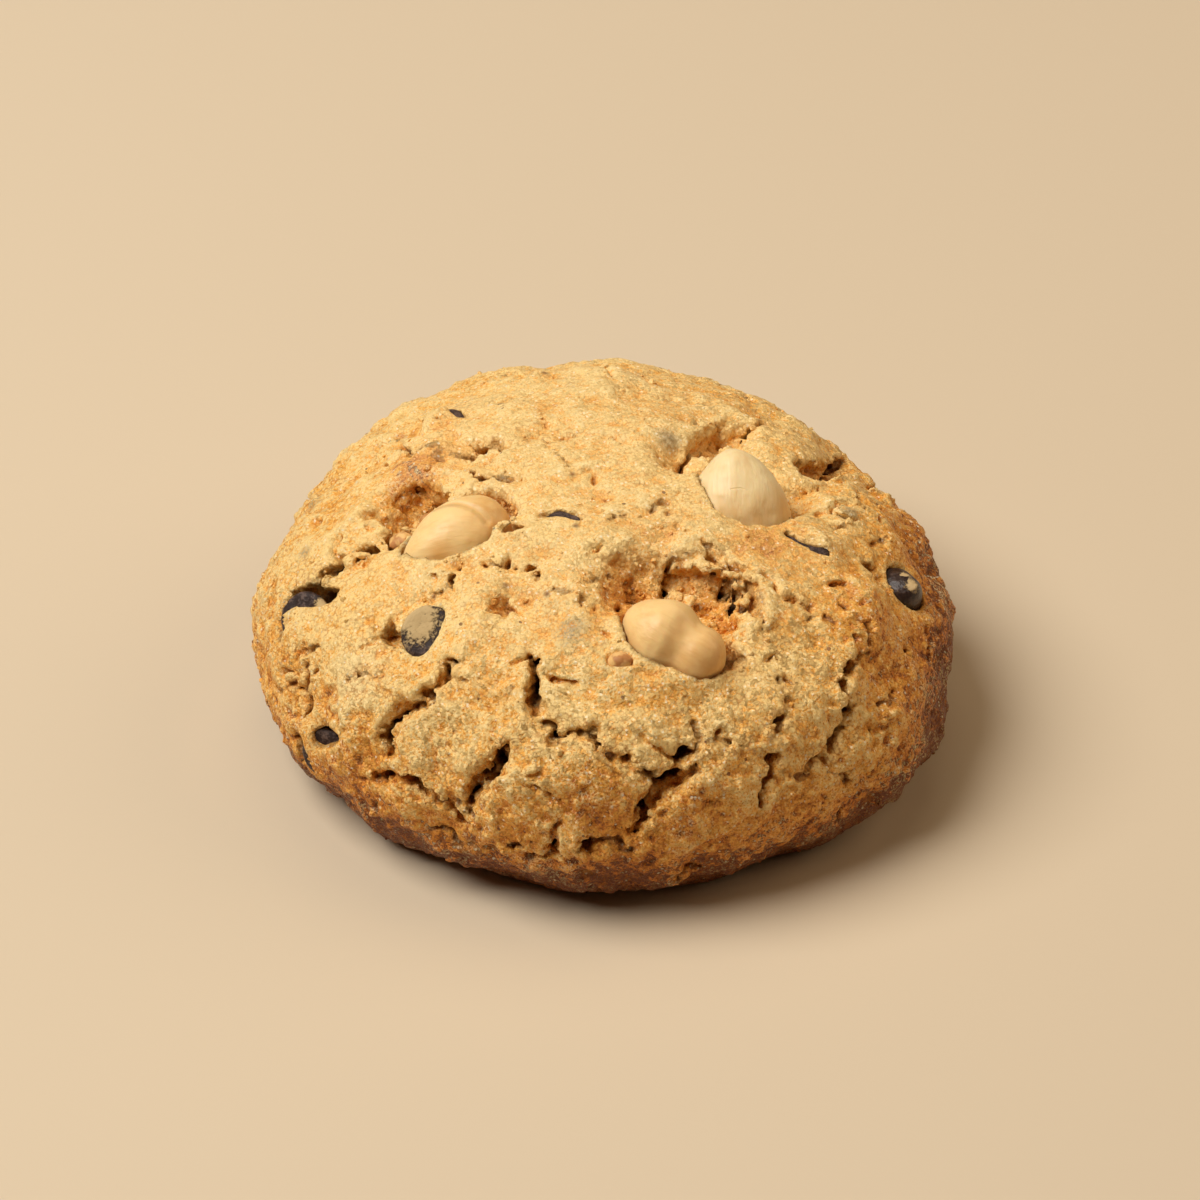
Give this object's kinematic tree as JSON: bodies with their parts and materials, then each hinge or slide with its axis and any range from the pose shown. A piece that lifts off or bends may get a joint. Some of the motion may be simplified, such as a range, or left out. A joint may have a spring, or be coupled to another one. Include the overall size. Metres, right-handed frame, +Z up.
{
  "type": "hazelnut cookie",
  "caption": "Thick domed cookie of cracked, browned dough with whole hazelnut kernels, chocolate chips and chopped nut baked in, flat underneath.",
  "frame": {"origin": "middle of the base of the box round the cookie, on the surface it rests on", "axes": "+Z up, +X to the right in the front view, +Y away from the front"},
  "size_m": [0.086, 0.087, 0.0382],
  "materials": {
    "baked_dough": "dry crumbly baked crust, golden on top and browner at the foot",
    "hazelnut": "smooth blanched kernel with a soft sheen",
    "chocolate": "dark chocolate, half glossy, smeared with dough",
    "chopped_nut": "broken nut with bits of brown skin"
  },
  "bodies": {
    "root": {"dough": "baked_dough", "hazelnut_left": "hazelnut", "hazelnut_back": "hazelnut", "hazelnut_front": "hazelnut", "chip_left": "chocolate", "chip_left_front": "chocolate", "chip_right": "chocolate", "chip_low_left": "chocolate", "chip_back_left": "chocolate", "chip_back_rim": "chocolate", "chip_crown_rim": "chocolate", "chip_fold_rim": "chocolate", "nut_bit_left": "chopped_nut", "nut_bit_behind": "chopped_nut", "nut_bit_front": "chopped_nut"}
  },
  "joints": []
}
